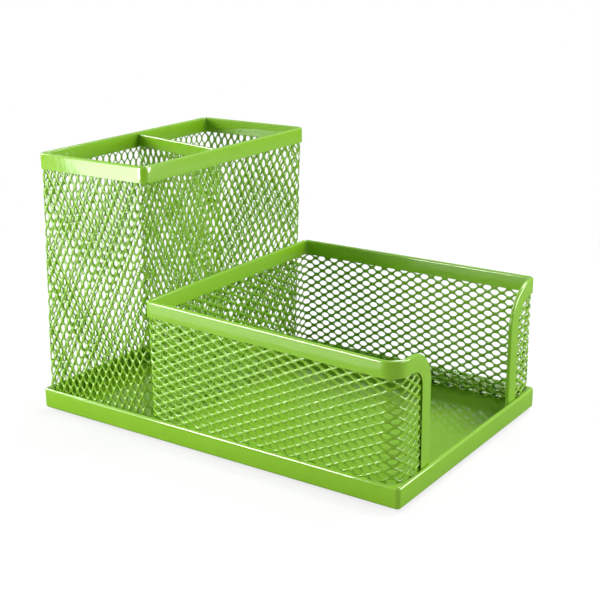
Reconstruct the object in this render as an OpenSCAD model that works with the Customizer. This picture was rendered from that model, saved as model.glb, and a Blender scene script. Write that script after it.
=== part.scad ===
// Desk organizer of expanded-metal sheet: a tall pen cup with a divider and a low open-front memo
// tray, both fixed in one pressed base pan. X runs along the long side, with the cup at low X and
// the tray's open front at high X. Y runs from the near long side to the far one. Z is up, and the
// origin is at the middle of the foot print, on the surface that the pads stand on.

/* [Base pan] */
// Length of the pan, along X
pan_length = 157; // [130:1:220]
// Width of the pan, along Y
pan_width = 103; // [85:1:150]
// Height of the pan's upstanding rim, from its underside
pan_height = 7.8; // [5:0.1:15]
// Thickness of the pan's floor
pan_sheet = 0.6; // [0.4:0.1:1.2]
// Thickness of the pan's rim, which is the sheet folded back on itself
pan_hem = 1.2; // [0.8:0.1:1.3]
// Outer radius of the pan's four upright corners
pan_corner_r = 1.6; // [1.4:0.1:4]
// Outer radius of the fold between the floor and the rim
pan_fold_r = 1.0; // [0.5:0.1:1.3]
// Length of the webs that join the pan's rim to the tray's front corners, along the returns
web_length = 11; // [4:0.5:15]

/* [Foot pads] */
// Diameter of each round pad
pad_diameter = 9; // [5:0.5:16]
// Thickness of each pad
pad_height = 1.2; // [0.6:0.1:3]
// Distance from the pan's sides to a pad's middle
pad_inset = 10; // [9:0.5:20]

/* [Trim channels] */
// Height of the channels on the cup and the tray, and width of the tray's front posts
rim_height = 6; // [4:0.1:9]
// Width of the channels across both bands
rim_width = 1.5; // [1.4:0.1:2]
// Thickness of the channel sheet over the mesh's edge
rim_sheet = 0.35; // [0.3:0.05:0.8]
// Rounding of the channels' closed edge
rim_edge_r = 0.5; // [0.3:0.05:0.65]
// Outer radius of the channels' upright corners
rim_corner_r = 2.5; // [2.2:0.1:3]

/* [Mesh sheet] */
// Overall thickness of the expanded sheet
mesh_sheet = 0.6; // [0.4:0.05:0.7]
// Long pitch of the gaps (6 mm on the real sheet, wider here so that the solids stay light)
mesh_long = 24; // [14:0.5:34]
// Short pitch of the gaps (3.45 mm on the real sheet)
mesh_short = 13.8; // [8:0.1:20]
// Width of the strands between the gaps
mesh_strand = 2.6; // [1:0.1:4]
// Width of the plain margin round each flat wall
mesh_margin = 1.2; // [0.6:0.1:3]

/* [Pen cup] */
// Length of the cup along X, over its rim
cup_length = 51; // [35:0.5:75]
// Height of the cup above the pan's underside
cup_height = 98.8; // [70:0.1:140]
// Distance from the pan's sides to the cup's rim
cup_inset = 3.1; // [3.1:0.1:8]
// Distance that the cup's foot stands off its rim, towards low X and low Y, as the sleeve sits askew
cup_lean = 2.2; // [0:0.1:2.2]

/* [Divider] */
// Height of the divider's cap band
cap_height = 4.8; // [3:0.1:8]
// Width of the divider's cap band
cap_width = 1.4; // [1.3:0.1:3]
// Distance of the cap's top below the cup's rim
cap_drop = 0.9; // [0.2:0.1:5]
// Distance of the divider's middle from the cup's middle, along Y
divider_offset = 0; // [-15:0.5:15]
// Distance that each end of the divider stands off the cup's middle line, as it sits askew
divider_skew = 5.2; // [-8:0.1:8]

/* [Memo tray] */
// Height of the tray above the pan's underside
tray_height = 51.7; // [35:0.1:65]
// Distance from the pan's long sides to the tray's rim
tray_inset = 1.1; // [1:0.1:4]
// Distance from the pan's front to the tray's front channels
tray_front_inset = 1.35; // [1.35:0.05:6]
// Gap between the cup's mesh and the tray's rim at its top, along X
tray_gap = 0.1; // [0.1:0.1:4]
// Distance by which the near side's rim comes down from the cup to its front end
near_drop = 2.8; // [0:0.1:4]
// Width of the near front return, from the tray's side to its post's free edge
near_return_width = 21.3; // [19:0.1:32]
// Width of the far front return, from the tray's side to its post's free edge
far_return_width = 19.3; // [19:0.1:32]
// Outer radius of the turn from the near return's top into its post
near_turn_r = 12; // [8:0.1:16]
// Outer radius of the turn from the far return's top into its post
far_turn_r = 16; // [8:0.1:16]

/* [Fit] */
// Running gap between the mesh and the channel that grips it, and at free edges
fit_gap = 0.1; // [0.05:0.05:0.15]
// Gap along the seams between flat walls and bent corners of one sheet
seam_gap = 0.05; // [0.02:0.01:0.1]

/* [Hidden] */
$fn = 48;

green = "yellowgreen";
pad_grey = "dimgray";
eps = 0.01;

// Heights
pan_z = pad_height;
floor_z = pan_z + pan_sheet;
pan_top = pan_z + pan_height;
cup_top = pan_z + cup_height;
tray_top = pan_z + tray_height;

// Middle surface of the mesh under the rims, and the bends' radius there
mesh_in = rim_width / 2;
bend_r = rim_corner_r - mesh_in;
slot_w = mesh_sheet + 2 * fit_gap;
mesh_gap_top = rim_sheet + fit_gap;

// Cup: outer faces of its rim, and middle surfaces of its walls at rim height
cup_x0 = -pan_length / 2 + cup_inset;
cup_x1 = cup_x0 + cup_length;
cup_y0 = -pan_width / 2 + cup_inset;
cup_y1 = -cup_y0;
cup_mesh_top = cup_top - mesh_gap_top;
cup_rise = cup_mesh_top - floor_z;
lean_angle = atan(cup_lean / cup_rise);
wall_x0 = cup_x0 + mesh_in;
wall_x1 = cup_x1 - mesh_in;
wall_y0 = cup_y0 + mesh_in;
wall_y1 = -wall_y0;

// Tray: outer faces of its rim, and middle surfaces of its walls
tray_x0 = wall_x1 + mesh_sheet / 2 - cup_lean * (cup_mesh_top - tray_top) / cup_rise + tray_gap;
tray_x1 = pan_length / 2 - tray_front_inset;
tray_y0 = -pan_width / 2 + tray_inset;
tray_y1 = -tray_y0;
tray_mesh_top = tray_top - mesh_gap_top;
tray_rise = tray_mesh_top - floor_z;
side_run = tray_x1 - tray_x0 - 2 * rim_corner_r;
drop_angle = atan(near_drop / side_run);

// Divider: from the outer wall to the inner wall, askew
divider_angle = -atan(2 * divider_skew / (wall_x1 - wall_x0));
divider_mid_x = (wall_x0 + wall_x1) / 2;
end_clear = mesh_sheet / 2 + fit_gap + mesh_sheet / 2 * abs(sin(divider_angle));
cap_clear = rim_width / 2 + fit_gap + cap_width / 2 * abs(sin(divider_angle));
cap_top = cup_top - cap_drop;

// ---- Outlines ----

// One gap of the mesh, in a cell of the given size
module gap_2d(cell_x, cell_y) {
    shrink_x = mesh_strand * sqrt(1 + pow(cell_x / cell_y, 2)) / 2;
    shrink_y = shrink_x * cell_y / cell_x;
    half_x = cell_x / 2 - shrink_x;
    half_y = cell_y / 2 - shrink_y;
    polygon([[half_x, 0], [0, half_y], [-half_x, 0], [0, -half_y]]);
}

// Rows of gaps over a zone of the given size, fitted so that a whole number of cells fills it
module gap_rows(size_x, size_y, pitch_x, pitch_y) {
    count_x = max(1, round(size_x / pitch_x));
    count_y = max(1, round(size_y / pitch_y));
    cell_x = size_x / count_x;
    cell_y = size_y / count_y;
    for (i = [0 : 2 * count_x], j = [0 : 2 * count_y])
        if ((i + j) % 2 == 0)
            translate([i * cell_x / 2, j * cell_y / 2])
                gap_2d(cell_x, cell_y);
}

// A flat mesh wall: a four-sided outline from (left, 0) to (right, 0), whose sides run up to
// (left + slant, height) and (right + slant, height - drop), with its margin left plain
module net_2d(left, right, slant, height, drop, pitch_x, pitch_y) {
    m = mesh_margin;
    low = left + min(slant, 0) + m;
    high = right + max(slant, 0) - m;
    difference() {
        polygon([[left, 0], [right, 0], [right + slant, height - drop], [left + slant, height]]);
        intersection() {
            polygon([[left + m, m], [right - m, m], [right + slant - m, height - drop - m],
                     [left + slant + m, height - m]]);
            translate([low, m])
                gap_rows(high - low, height - 2 * m, pitch_x, pitch_y);
        }
    }
}

// Section of a trim channel: closed and rounded at the top, open below for the mesh. Its outer
// face is at x = 0 and its closed edge at y = 0
module channel_2d(depth) {
    difference() {
        union() {
            translate([0, -depth])
                square([rim_width, depth - rim_edge_r]);
            translate([rim_edge_r, -2 * rim_edge_r])
                square([rim_width - 2 * rim_edge_r, 2 * rim_edge_r]);
            for (x = [rim_edge_r, rim_width - rim_edge_r])
                translate([x, -rim_edge_r])
                    circle(rim_edge_r);
        }
        translate([(rim_width - slot_w) / 2, -depth - eps])
            square([slot_w, depth - rim_sheet + eps]);
    }
}

// Section of the pan's rim: outer face at x = 0, fold at the bottom, hem to full height
module pan_wall_2d() {
    translate([0, pan_fold_r])
        square([pan_hem, pan_height - pan_fold_r]);
    translate([pan_fold_r, 0])
        square([max(pan_hem, pan_fold_r) - pan_fold_r + eps, pan_fold_r + eps]);
    intersection() {
        square(pan_fold_r + eps);
        translate([pan_fold_r, pan_fold_r])
            circle(pan_fold_r);
    }
}

module rounded_rect(size_x, size_y, r) {
    square([size_x - 2 * r, size_y], center = true);
    square([size_x, size_y - 2 * r], center = true);
    for (sx = [-1, 1], sy = [-1, 1])
        translate([sx * (size_x / 2 - r), sy * (size_y / 2 - r)])
            circle(r);
}

// ---- Sweeps ----

// Straight run of a section whose outer face looks to -Y, from x = 0 to x = run
module run_x(run) {
    rotate([90, 0, 90])
        linear_extrude(run)
            children();
}

// Upright corner of a section, turning from the -Y face to the -X face about the Z axis
module corner_z(r) {
    rotate([0, 0, 180])
        rotate_extrude(angle = 90)
            translate([r, 0])
                mirror([1, 0])
                    children();
}

// Closed ring of a section round a rectangle from (x0, y0) to (x1, y1)
module ring(x0, y0, x1, y1, r) {
    dx = x1 - x0;
    dy = y1 - y0;
    corners = [[x0, y0, 0, dx], [x1, y0, 90, dy], [x1, y1, 180, dx], [x0, y1, 270, dy]];
    for (c = corners)
        translate([c[0], c[1], 0])
            rotate([0, 0, c[2]]) {
                translate([r, 0, 0])
                    run_x(c[3] - 2 * r)
                        children();
                translate([r, r, 0])
                    corner_z(r)
                        children();
            }
}

// Quarter-round corner of a mesh sheet about the Z axis, from the -Y side to the -X side, with gaps
module bend(rise, pitch) {
    count = max(1, round((rise - 2 * mesh_margin) / pitch));
    cell = (rise - 2 * mesh_margin) / count;
    gap_w = bend_r * 0.7;
    difference() {
        rotate([0, 0, 180])
            rotate_extrude(angle = 90)
                translate([bend_r - mesh_sheet / 2, 0])
                    square([mesh_sheet, rise]);
        for (i = [0 : count - 1])
            translate([0, 0, mesh_margin + (i + 0.5) * cell])
                rotate([0, 0, 225])
                    rotate([90, 0, 90])
                        linear_extrude(bend_r + mesh_sheet)
                            polygon([[gap_w / 2, 0], [0, cell / 2 - mesh_strand / 2],
                                     [-gap_w / 2, 0], [0, mesh_strand / 2 - cell / 2]]);
    }
}

// ---- Flat mesh walls of the cup ----

// A wall of the cup from left to right at its top, with its foot set back by the lean along the
// wall's own line and across it
module cup_wall(left, right, foot_shift) {
    rotate([90 - lean_angle, 0, 0])
        translate([0, 0, -mesh_sheet / 2])
            linear_extrude(mesh_sheet)
                net_2d(left + foot_shift, right + foot_shift, -foot_shift, cup_rise, 0,
                       mesh_short, mesh_long);
}

module cup_side(wall_y) {
    translate([0, wall_y - cup_lean, floor_z + seam_gap])
        cup_wall(wall_x0 + bend_r + seam_gap, wall_x1 - bend_r - seam_gap, -cup_lean);
}

module cup_end(wall_x) {
    half = wall_y1 - bend_r - seam_gap;
    translate([wall_x - cup_lean, 0, floor_z + seam_gap])
        rotate([0, 0, -90])
            cup_wall(-half, half, cup_lean);
}

module cup_wall_near() {
    color(green) cup_side(wall_y0);
}

module cup_wall_far() {
    color(green) cup_side(wall_y1);
}

module cup_wall_outer() {
    color(green) cup_end(wall_x0);
}

module cup_wall_inner() {
    color(green) cup_end(wall_x1);
}

// The four bent corners of the cup's sheet, leaning as the walls do
module cup_corner_bends() {
    low_x = wall_x0 + bend_r;
    high_x = wall_x1 - bend_r;
    low_y = wall_y0 + bend_r;
    high_y = wall_y1 - bend_r;
    color(green)
        for (c = [[low_x, low_y, 0], [high_x, low_y, 90], [high_x, high_y, 180], [low_x, high_y, 270]])
            translate([c[0] - cup_lean, c[1] - cup_lean, floor_z + 2 * seam_gap])
                rotate([-lean_angle, lean_angle, 0])
                    rotate([0, 0, c[2]])
                        bend(cup_rise - 2 * seam_gap, mesh_long);
}

// ---- Flat mesh walls of the tray ----

module tray_wall(left, right, drop) {
    rotate([90, 0, 0])
        translate([0, 0, -mesh_sheet / 2])
            linear_extrude(mesh_sheet)
                net_2d(left, right, 0, tray_rise, drop, mesh_long, mesh_short);
}

module tray_side(rim_y, drop) {
    translate([0, rim_y, floor_z])
        tray_wall(tray_x0 + rim_corner_r + seam_gap, tray_x1 - rim_corner_r - seam_gap, drop);
}

module tray_wall_near() {
    color(green) tray_side(tray_y0 + mesh_in, near_drop);
}

module tray_wall_far() {
    color(green) tray_side(tray_y1 - mesh_in, 0);
}

module tray_wall_back() {
    half = tray_y1 - rim_corner_r - seam_gap;
    color(green)
        translate([tray_x0 + mesh_in, 0, floor_z])
            rotate([0, 0, 90])
                tray_wall(-half, half, 0);
}

// A front return: the end of the tray's sheet, cut to fit inside the turned channel of its post.
// Drawn on the near side
module tray_return(width, turn_r, drop) {
    start = tray_y0 + rim_corner_r + seam_gap;
    edge = tray_y0 + width - mesh_gap_top;
    top = tray_rise - drop;
    r = turn_r - mesh_gap_top;
    m = mesh_margin;
    translate([tray_x1 - mesh_in - mesh_sheet / 2, 0, floor_z])
        rotate([90, 0, 90])
            linear_extrude(mesh_sheet)
                difference() {
                    return_2d(start, edge, top, r, 0);
                    intersection() {
                        return_2d(start, edge, top, r, m);
                        translate([start + m, m])
                            gap_rows(edge - start - 2 * m, top - 2 * m, mesh_long, mesh_short);
                    }
                }
}

// Outline of a return with its turned corner, drawn in by a margin
module return_2d(start, edge, top, turn_r, margin) {
    turn_y = edge - turn_r;
    turn_z = top - turn_r;
    intersection() {
        translate([start + margin, margin])
            square([edge - start - 2 * margin, top - 2 * margin]);
        union() {
            translate([start, 0])
                square([edge - start, turn_z]);
            translate([turn_y - edge + start, 0])
                square([edge - start, top]);
            translate([turn_y, turn_z])
                circle(turn_r - margin);
        }
    }
}

module tray_return_near() {
    color(green) tray_return(near_return_width, near_turn_r, near_drop);
}

module tray_return_far() {
    color(green)
        mirror([0, 1, 0])
            tray_return(far_return_width, far_turn_r, 0);
}

// The four bent corners of the tray's sheet
module tray_corner_bends() {
    low_x = tray_x0 + rim_corner_r;
    high_x = tray_x1 - rim_corner_r;
    low_y = tray_y0 + rim_corner_r;
    color(green)
        for (c = [[low_x, low_y, 0, 0], [high_x, low_y, 90, near_drop],
                  [high_x, -low_y, 180, 0], [low_x, -low_y, 270, 0]])
            translate([c[0], c[1], floor_z])
                rotate([0, 0, c[2]])
                    bend(tray_rise - c[3], mesh_short);
}

// ---- Channels ----

module cup_rim() {
    color(green)
        translate([0, 0, cup_top])
            ring(cup_x0, cup_y0, cup_x1, cup_y1, rim_corner_r)
                channel_2d(rim_height);
}

// Rim of the tray: its back and far sides with their corners, and the near side, which comes down
// towards the front
module tray_rim() {
    r = rim_corner_r;
    drop_start = rim_height * sin(drop_angle) + seam_gap;
    color(green)
        translate([0, 0, tray_top]) {
            translate([tray_x0, tray_y1 - r, 0])
                rotate([0, 0, 270])
                    run_x(tray_y1 - tray_y0 - 2 * r)
                        channel_2d(rim_height);
            for (sy = [0, 1])
                mirror([0, sy, 0])
                    translate([tray_x0 + r, tray_y0 + r, 0])
                        corner_z(r)
                            channel_2d(rim_height);
            translate([tray_x1 - r, tray_y1, 0])
                rotate([0, 0, 180])
                    run_x(side_run)
                        channel_2d(rim_height);
            translate([tray_x0 + r, tray_y0, 0])
                rotate([0, drop_angle, 0])
                    translate([drop_start, 0, 0])
                        run_x((side_run - seam_gap) / cos(drop_angle) - drop_start)
                            channel_2d(rim_height);
        }
}

// A front post: the channel bends round the tray's front corner, runs along the return's top, turns
// down and stands on the pan's floor. Drawn on the near side
module post(width, turn_r, drop) {
    r = rim_corner_r;
    edge = tray_y0 + width;
    turn_y = edge - turn_r;
    turn_z = tray_top - drop - turn_r;
    color(green)
        translate([tray_x1, 0, 0]) {
            translate([-r, tray_y0 + r, tray_top - drop])
                rotate([0, 0, 90])
                    corner_z(r)
                        channel_2d(rim_height);
            translate([0, tray_y0 + r, tray_top - drop])
                rotate([0, 0, 90])
                    run_x(turn_y - tray_y0 - r)
                        channel_2d(rim_height);
            translate([0, turn_y, turn_z])
                rotate([90, 0, 90])
                    rotate_extrude(angle = 90)
                        translate([turn_r, 0])
                            rotate([0, 0, -90])
                                channel_2d(rim_height);
            translate([-rim_width, edge, floor_z])
                linear_extrude(turn_z - floor_z)
                    channel_2d(rim_height);
        }
}

module near_post() {
    post(near_return_width, near_turn_r, near_drop);
}

module far_post() {
    mirror([0, 1, 0])
        post(far_return_width, far_turn_r, 0);
}

// ---- Divider ----

module divider_frame() {
    translate([divider_mid_x, divider_offset, 0])
        rotate([0, 0, divider_angle])
            children();
}

module divider_mesh() {
    spread = cos(divider_angle);
    low = (wall_x0 + end_clear - divider_mid_x) / spread;
    high = (wall_x1 - end_clear - divider_mid_x) / spread;
    rise = cap_top - rim_sheet - fit_gap - floor_z;
    shift = cup_lean / spread;
    color(green)
        divider_frame()
            translate([0, mesh_sheet / 2, floor_z])
                rotate([90, 0, 0])
                    linear_extrude(mesh_sheet)
                        net_2d(low - shift, high - shift, shift, rise, 0, mesh_short, mesh_long);
}

// Cap band of the divider: a narrow channel pressed over the mesh's top edge
module divider_cap() {
    low = (wall_x0 + cap_clear - divider_mid_x) / cos(divider_angle);
    high = (wall_x1 - cap_clear - divider_mid_x) / cos(divider_angle);
    color(green)
        divider_frame()
            translate([low, -cap_width / 2, cap_top])
                difference() {
                    translate([0, 0, -cap_height])
                        cube([high - low, cap_width, cap_height]);
                    translate([-eps, (cap_width - slot_w) / 2, -cap_height - eps])
                        cube([high - low + 2 * eps, slot_w, cap_height - rim_sheet + eps]);
                }
}

// ---- Base ----

// Flat web in a corner of the pan, level with the rim, between the rim and the bent mesh
module corner_web(in_x, in_y) {
    clear_r = rim_corner_r - mesh_in + mesh_sheet / 2 + fit_gap;
    difference() {
        translate([pan_hem - eps, pan_hem - eps, 0])
            cube([in_x - pan_hem, in_y - pan_hem, pan_sheet]);
        translate([in_x, in_y, -eps])
            cylinder(h = pan_sheet + 2 * eps, r = clear_r);
    }
}

// Web at a front corner of the pan, with narrow legs along the tray's side and its return
module front_web() {
    clear = mesh_in - mesh_sheet / 2 - fit_gap;
    corner_web(tray_front_inset + rim_corner_r, tray_inset + rim_corner_r);
    translate([pan_hem - eps, pan_hem - eps, 0]) {
        cube([tray_front_inset + clear - pan_hem + eps, web_length - pan_hem, pan_sheet]);
        cube([web_length / 2, tray_inset + clear - pan_hem + eps, pan_sheet]);
    }
}

module base_pan() {
    hx = pan_length / 2;
    hy = pan_width / 2;
    lean_left = cup_lean * (1 - pan_height / cup_rise);
    cup_web = cup_inset + rim_corner_r;
    color(green) {
        translate([0, 0, pan_z])
            ring(-hx, -hy, hx, hy, pan_corner_r)
                pan_wall_2d();
        translate([0, 0, pan_z])
            linear_extrude(pan_sheet)
                rounded_rect(pan_length - 2 * pan_fold_r, pan_width - 2 * pan_fold_r, pan_corner_r - pan_fold_r);
        for (sy = [0, 1])
            mirror([0, sy, 0])
                translate([0, 0, pan_top - pan_sheet]) {
                    translate([-hx, -hy, 0])
                        corner_web(cup_web - lean_left, cup_web + (2 * sy - 1) * lean_left);
                    translate([hx, -hy, 0])
                        mirror([1, 0, 0])
                            front_web();
                }
    }
}

module foot_pads() {
    color(pad_grey)
        for (sx = [-1, 1], sy = [-1, 1])
            translate([sx * (pan_length / 2 - pad_inset), sy * (pan_width / 2 - pad_inset), 0])
                cylinder(h = pad_height, d = pad_diameter);
}

base_pan();
foot_pads();
cup_wall_near();
cup_wall_far();
cup_wall_outer();
cup_wall_inner();
cup_corner_bends();
cup_rim();
divider_mesh();
divider_cap();
tray_wall_near();
tray_wall_far();
tray_wall_back();
tray_return_near();
tray_return_far();
tray_corner_bends();
tray_rim();
near_post();
far_post();
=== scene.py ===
"""Desk organizer of painted expanded metal: a tall pen cup with a divider and a low open-front memo
tray, both standing in one pressed pan. The file is laid out as an add-on and is run as a script."""

import math

import bmesh
import bpy
from bpy.props import FloatProperty, FloatVectorProperty, IntProperty, PointerProperty
from mathutils import Matrix, Vector


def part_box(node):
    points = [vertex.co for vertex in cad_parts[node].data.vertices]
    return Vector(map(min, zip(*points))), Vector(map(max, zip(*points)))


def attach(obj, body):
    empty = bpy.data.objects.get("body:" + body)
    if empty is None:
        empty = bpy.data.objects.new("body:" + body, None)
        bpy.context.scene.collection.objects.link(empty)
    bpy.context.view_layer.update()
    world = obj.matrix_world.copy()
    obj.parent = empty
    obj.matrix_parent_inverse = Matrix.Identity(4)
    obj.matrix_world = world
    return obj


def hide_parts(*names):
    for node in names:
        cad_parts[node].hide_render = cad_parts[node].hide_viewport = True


bl_info = {
    "name": "Mesh desk organizer",
    "version": (1, 0, 0),
    "blender": (4, 5, 0),
    "location": "3D View > Sidebar > Organizer",
    "description": "Builds an expanded-metal pen cup and memo tray on a pressed pan, "
                   "with its studio",
    "category": "Object",
}

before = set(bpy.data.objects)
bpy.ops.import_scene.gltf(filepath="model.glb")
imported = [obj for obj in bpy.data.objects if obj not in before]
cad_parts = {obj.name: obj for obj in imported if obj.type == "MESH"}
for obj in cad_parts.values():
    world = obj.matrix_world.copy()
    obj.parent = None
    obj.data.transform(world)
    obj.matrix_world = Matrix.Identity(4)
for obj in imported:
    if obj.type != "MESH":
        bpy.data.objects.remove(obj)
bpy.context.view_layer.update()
BODY = "root"
MM = 0.001

# The lowest and the highest corner of the nodes that settle where the pieces stand
PAN_LO, PAN_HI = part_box("base_pan")
PAD_LO, PAD_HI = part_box("foot_pads")
CUP_LO, CUP_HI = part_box("cup_rim")
TRAY_LO, TRAY_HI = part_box("tray_rim")
NEAR_LO, NEAR_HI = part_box("near_post")
FAR_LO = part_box("far_post")[0]
CAP_LO, CAP_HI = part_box("divider_cap")
DIVIDER_LO, DIVIDER_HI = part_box("divider_mesh")
LEANING_LO, LEANING_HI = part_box("cup_wall_near")
UPRIGHT_LO, UPRIGHT_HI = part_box("tray_wall_far")

# Sizes that follow from these corners
FLOOR_Z = NEAR_LO.z
RIM_HEIGHT = CUP_HI.z - CUP_LO.z
SHEET = UPRIGHT_HI.y - UPRIGHT_LO.y
LEAN = (LEANING_HI.y - LEANING_LO.y) - SHEET
NEAR_FALL = TRAY_HI.z - NEAR_HI.z

# Sizes of the bent sheets and of the channels on them
RIM_WIDTH = 1.5 * MM
CORNER_RADIUS = 2.5 * MM
WIDE_CORNER_RADIUS = 6.5 * MM
NEAR_TURN_RADIUS = 12 * MM
FAR_TURN_RADIUS = 16 * MM
EDGE_GAP = 0.5 * MM
BEND_STEPS = 12
TINY = 1e-6


# ---------------------------------------------------------------- settings

class OrganizerMesh(bpy.types.PropertyGroup):
    long_pitch: FloatProperty(
        name="Long pitch", description="Length of one cell of the expanded sheet",
        default=6.0 * MM, unit="LENGTH")
    short_pitch: FloatProperty(
        name="Short pitch", description="Width of one cell of the expanded sheet",
        default=3.45 * MM, unit="LENGTH")
    cup_hole_width: FloatProperty(
        name="Cup hole width", description="Share of the short pitch that a hole of the cup takes",
        default=0.66, subtype="FACTOR")
    tray_hole_width: FloatProperty(
        name="Tray hole width",
        description="Share of the short pitch that a hole of the tray takes",
        default=0.595, subtype="FACTOR")
    cup_hole_length: FloatProperty(
        name="Cup hole length", description="Share of the long pitch that a hole of the cup takes",
        default=0.63, subtype="FACTOR")
    tray_hole_length: FloatProperty(
        name="Tray hole length",
        description="Share of the long pitch that a hole of the tray takes",
        default=0.615, subtype="FACTOR")
    cup_thickness: FloatProperty(
        name="Cup strand thickness", description="Thickness of the cup's painted strands",
        default=0.26 * MM, unit="LENGTH")
    tray_thickness: FloatProperty(
        name="Tray strand thickness", description="Thickness of the tray's painted strands",
        default=0.36 * MM, unit="LENGTH")
    cup_louvre: FloatProperty(
        name="Cup louvre",
        description="How far a strand's two edges stand before and behind the cup's sheet",
        default=-0.14 * MM, unit="LENGTH")
    tray_louvre: FloatProperty(
        name="Tray louvre",
        description="How far a strand's two edges stand before and behind the tray's sheet",
        default=0.16 * MM, unit="LENGTH")
    cup_turns: IntProperty(
        name="Cup pattern climb",
        description="Half cells that the pattern climbs in one turn round the cup",
        default=6)
    tray_tilt: FloatProperty(
        name="Tray pattern tilt", description="Turn of the pattern in the tray's sheet",
        default=math.radians(-4.0), subtype="ANGLE")
    divider_tilt: FloatProperty(
        name="Divider pattern tilt", description="Turn of the pattern in the divider's sheet",
        default=math.radians(3.0), subtype="ANGLE")


class OrganizerTrim(bpy.types.PropertyGroup):
    wall: FloatProperty(
        name="Channel wall", description="Thickness of the channel's sheet",
        default=0.28 * MM, unit="LENGTH")
    edge_radius: FloatProperty(
        name="Edge radius", description="Rounding of the channel's closed edge",
        default=0.70 * MM, unit="LENGTH")
    cap_width: FloatProperty(
        name="Cap width", description="Width of the divider's cap band",
        default=1.35 * MM, unit="LENGTH")
    cap_wall: FloatProperty(
        name="Cap wall", description="Thickness of the cap band's sheet",
        default=0.25 * MM, unit="LENGTH")
    cap_radius: FloatProperty(
        name="Cap edge radius", description="Rounding of the cap band's closed edge",
        default=0.35 * MM, unit="LENGTH")
    step: FloatProperty(
        name="Step", description="Distance between the rings of a swept channel",
        default=1.0 * MM, unit="LENGTH")


class OrganizerPaint(bpy.types.PropertyGroup):
    lime: FloatVectorProperty(
        name="Lime", description="Colour of the powder coat",
        default=(0.225, 0.475, 0.014), size=3, subtype="COLOR", min=0, max=1)
    deep: FloatVectorProperty(
        name="Deep lime", description="Colour where the coat is thick",
        default=(0.190, 0.415, 0.010), size=3, subtype="COLOR", min=0, max=1)
    rubber: FloatVectorProperty(
        name="Pad", description="Colour of the foot pads",
        default=(0.025, 0.027, 0.025), size=3, subtype="COLOR", min=0, max=1)


class OrganizerStage(bpy.types.PropertyGroup):
    high_power: FloatProperty(
        name="High light", description="Power of the high softbox over the object",
        default=10.2, unit="POWER")
    left_power: FloatProperty(
        name="Left light", description="Power of the tall softbox at the left",
        default=8.0, unit="POWER")
    low_power: FloatProperty(
        name="Low light", description="Power of the small softbox that stands low at the left",
        default=0.142, unit="POWER")
    front_power: FloatProperty(
        name="Front light", description="Power of the low softbox that stands in front",
        default=2.5, unit="POWER")
    table_power: FloatProperty(
        name="Table light", description="Power of the panel that lies on the floor in front",
        default=0.31, unit="POWER")
    side_power: FloatProperty(
        name="Side light", description="Power of the softbox at the tray's open front",
        default=3.7, unit="POWER")
    rear_power: FloatProperty(
        name="Rear light", description="Power of the low softbox behind the tray's far side",
        default=2.4, unit="POWER")


def settings():
    """The settings of the mesh, of the trim and of the paint."""
    scene = bpy.context.scene
    return scene.organizer_mesh, scene.organizer_trim, scene.organizer_paint


# ---------------------------------------------------------------- node helpers

def feed(tree, node, values):
    """Feeds a node's inputs, in order or by name, from sockets or plain values."""
    pairs = values.items() if isinstance(values, dict) else enumerate(values)
    for key, value in pairs:
        if isinstance(value, bpy.types.NodeSocket):
            tree.links.new(value, node.inputs[key])
        elif value is not None:
            node.inputs[key].default_value = value


def put(tree, kind, values=(), **options):
    """A new node with its options set and its inputs fed."""
    node = tree.nodes.new(kind)
    for key, value in options.items():
        setattr(node, key, value)
    feed(tree, node, values)
    return node


def output(tree, kind, values=(), **options):
    """The first output of a new node."""
    return put(tree, kind, values, **options).outputs[0]


def maths(tree, operation, *values):
    return output(tree, "ShaderNodeMath", values, operation=operation)


def vectors(tree, operation, *values):
    return output(tree, "ShaderNodeVectorMath", values, operation=operation)


def scaled(tree, vector, factor):
    return output(tree, "ShaderNodeVectorMath", {0: vector, "Scale": factor}, operation="SCALE")


def combined(tree, *parts):
    return output(tree, "ShaderNodeCombineXYZ", parts)


def point_places(tree):
    """X, Y and Z of every point."""
    position = output(tree, "GeometryNodeInputPosition")
    return put(tree, "ShaderNodeSeparateXYZ", [position]).outputs


def object_form(tree, chosen):
    return put(tree, "GeometryNodeObjectInfo", [chosen]).outputs["Geometry"]


def merged(tree, geometry, distance):
    return output(tree, "GeometryNodeMergeByDistance", {"Geometry": geometry, "Distance": distance})


def start_tree(name, inputs):
    """A Geometry Nodes tree with a Geometry input and output and the named inputs."""
    tree = bpy.data.node_groups.new(name, "GeometryNodeTree")
    tree.interface.new_socket("Geometry", in_out="INPUT", socket_type="NodeSocketGeometry")
    for label, kind in inputs:
        tree.interface.new_socket(label, in_out="INPUT", socket_type="NodeSocket" + kind)
    tree.interface.new_socket("Geometry", in_out="OUTPUT", socket_type="NodeSocketGeometry")
    return tree, tree.nodes.new("NodeGroupInput").outputs


def end_tree(tree, geometry, material):
    """Realizes, smooths and paints what a tree made."""
    real = output(tree, "GeometryNodeRealizeInstances", [geometry])
    smooth = output(tree, "GeometryNodeSetShadeSmooth", {"Geometry": real, "Shade Smooth": True})
    painted = output(tree, "GeometryNodeSetMaterial", {"Geometry": smooth, "Material": material})
    tree.links.new(painted, tree.nodes.new("NodeGroupOutput").inputs[0])
    return tree


def run_tree(piece, tree, values):
    """Runs a tree on a piece with the named inputs, and keeps the result as its plain mesh."""
    modifier = piece.modifiers.new(tree.name, "NODES")
    modifier.node_group = tree
    names = {item.name: item.identifier for item in tree.interface.items_tree
             if item.in_out == "INPUT"}
    for label, value in values.items():
        modifier[names[label]] = value
    graph = bpy.context.evaluated_depsgraph_get()
    result = bpy.data.meshes.new_from_object(piece.evaluated_get(graph))
    piece.modifiers.clear()
    piece.data = result
    result.name = piece.name


# ---------------------------------------------------------------- pieces and forms

def link(name, data):
    made = bpy.data.objects.new(name, data)
    bpy.context.scene.collection.objects.link(made)
    return made


def discard(*helpers):
    for helper in helpers:
        bpy.data.objects.remove(helper)


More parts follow.
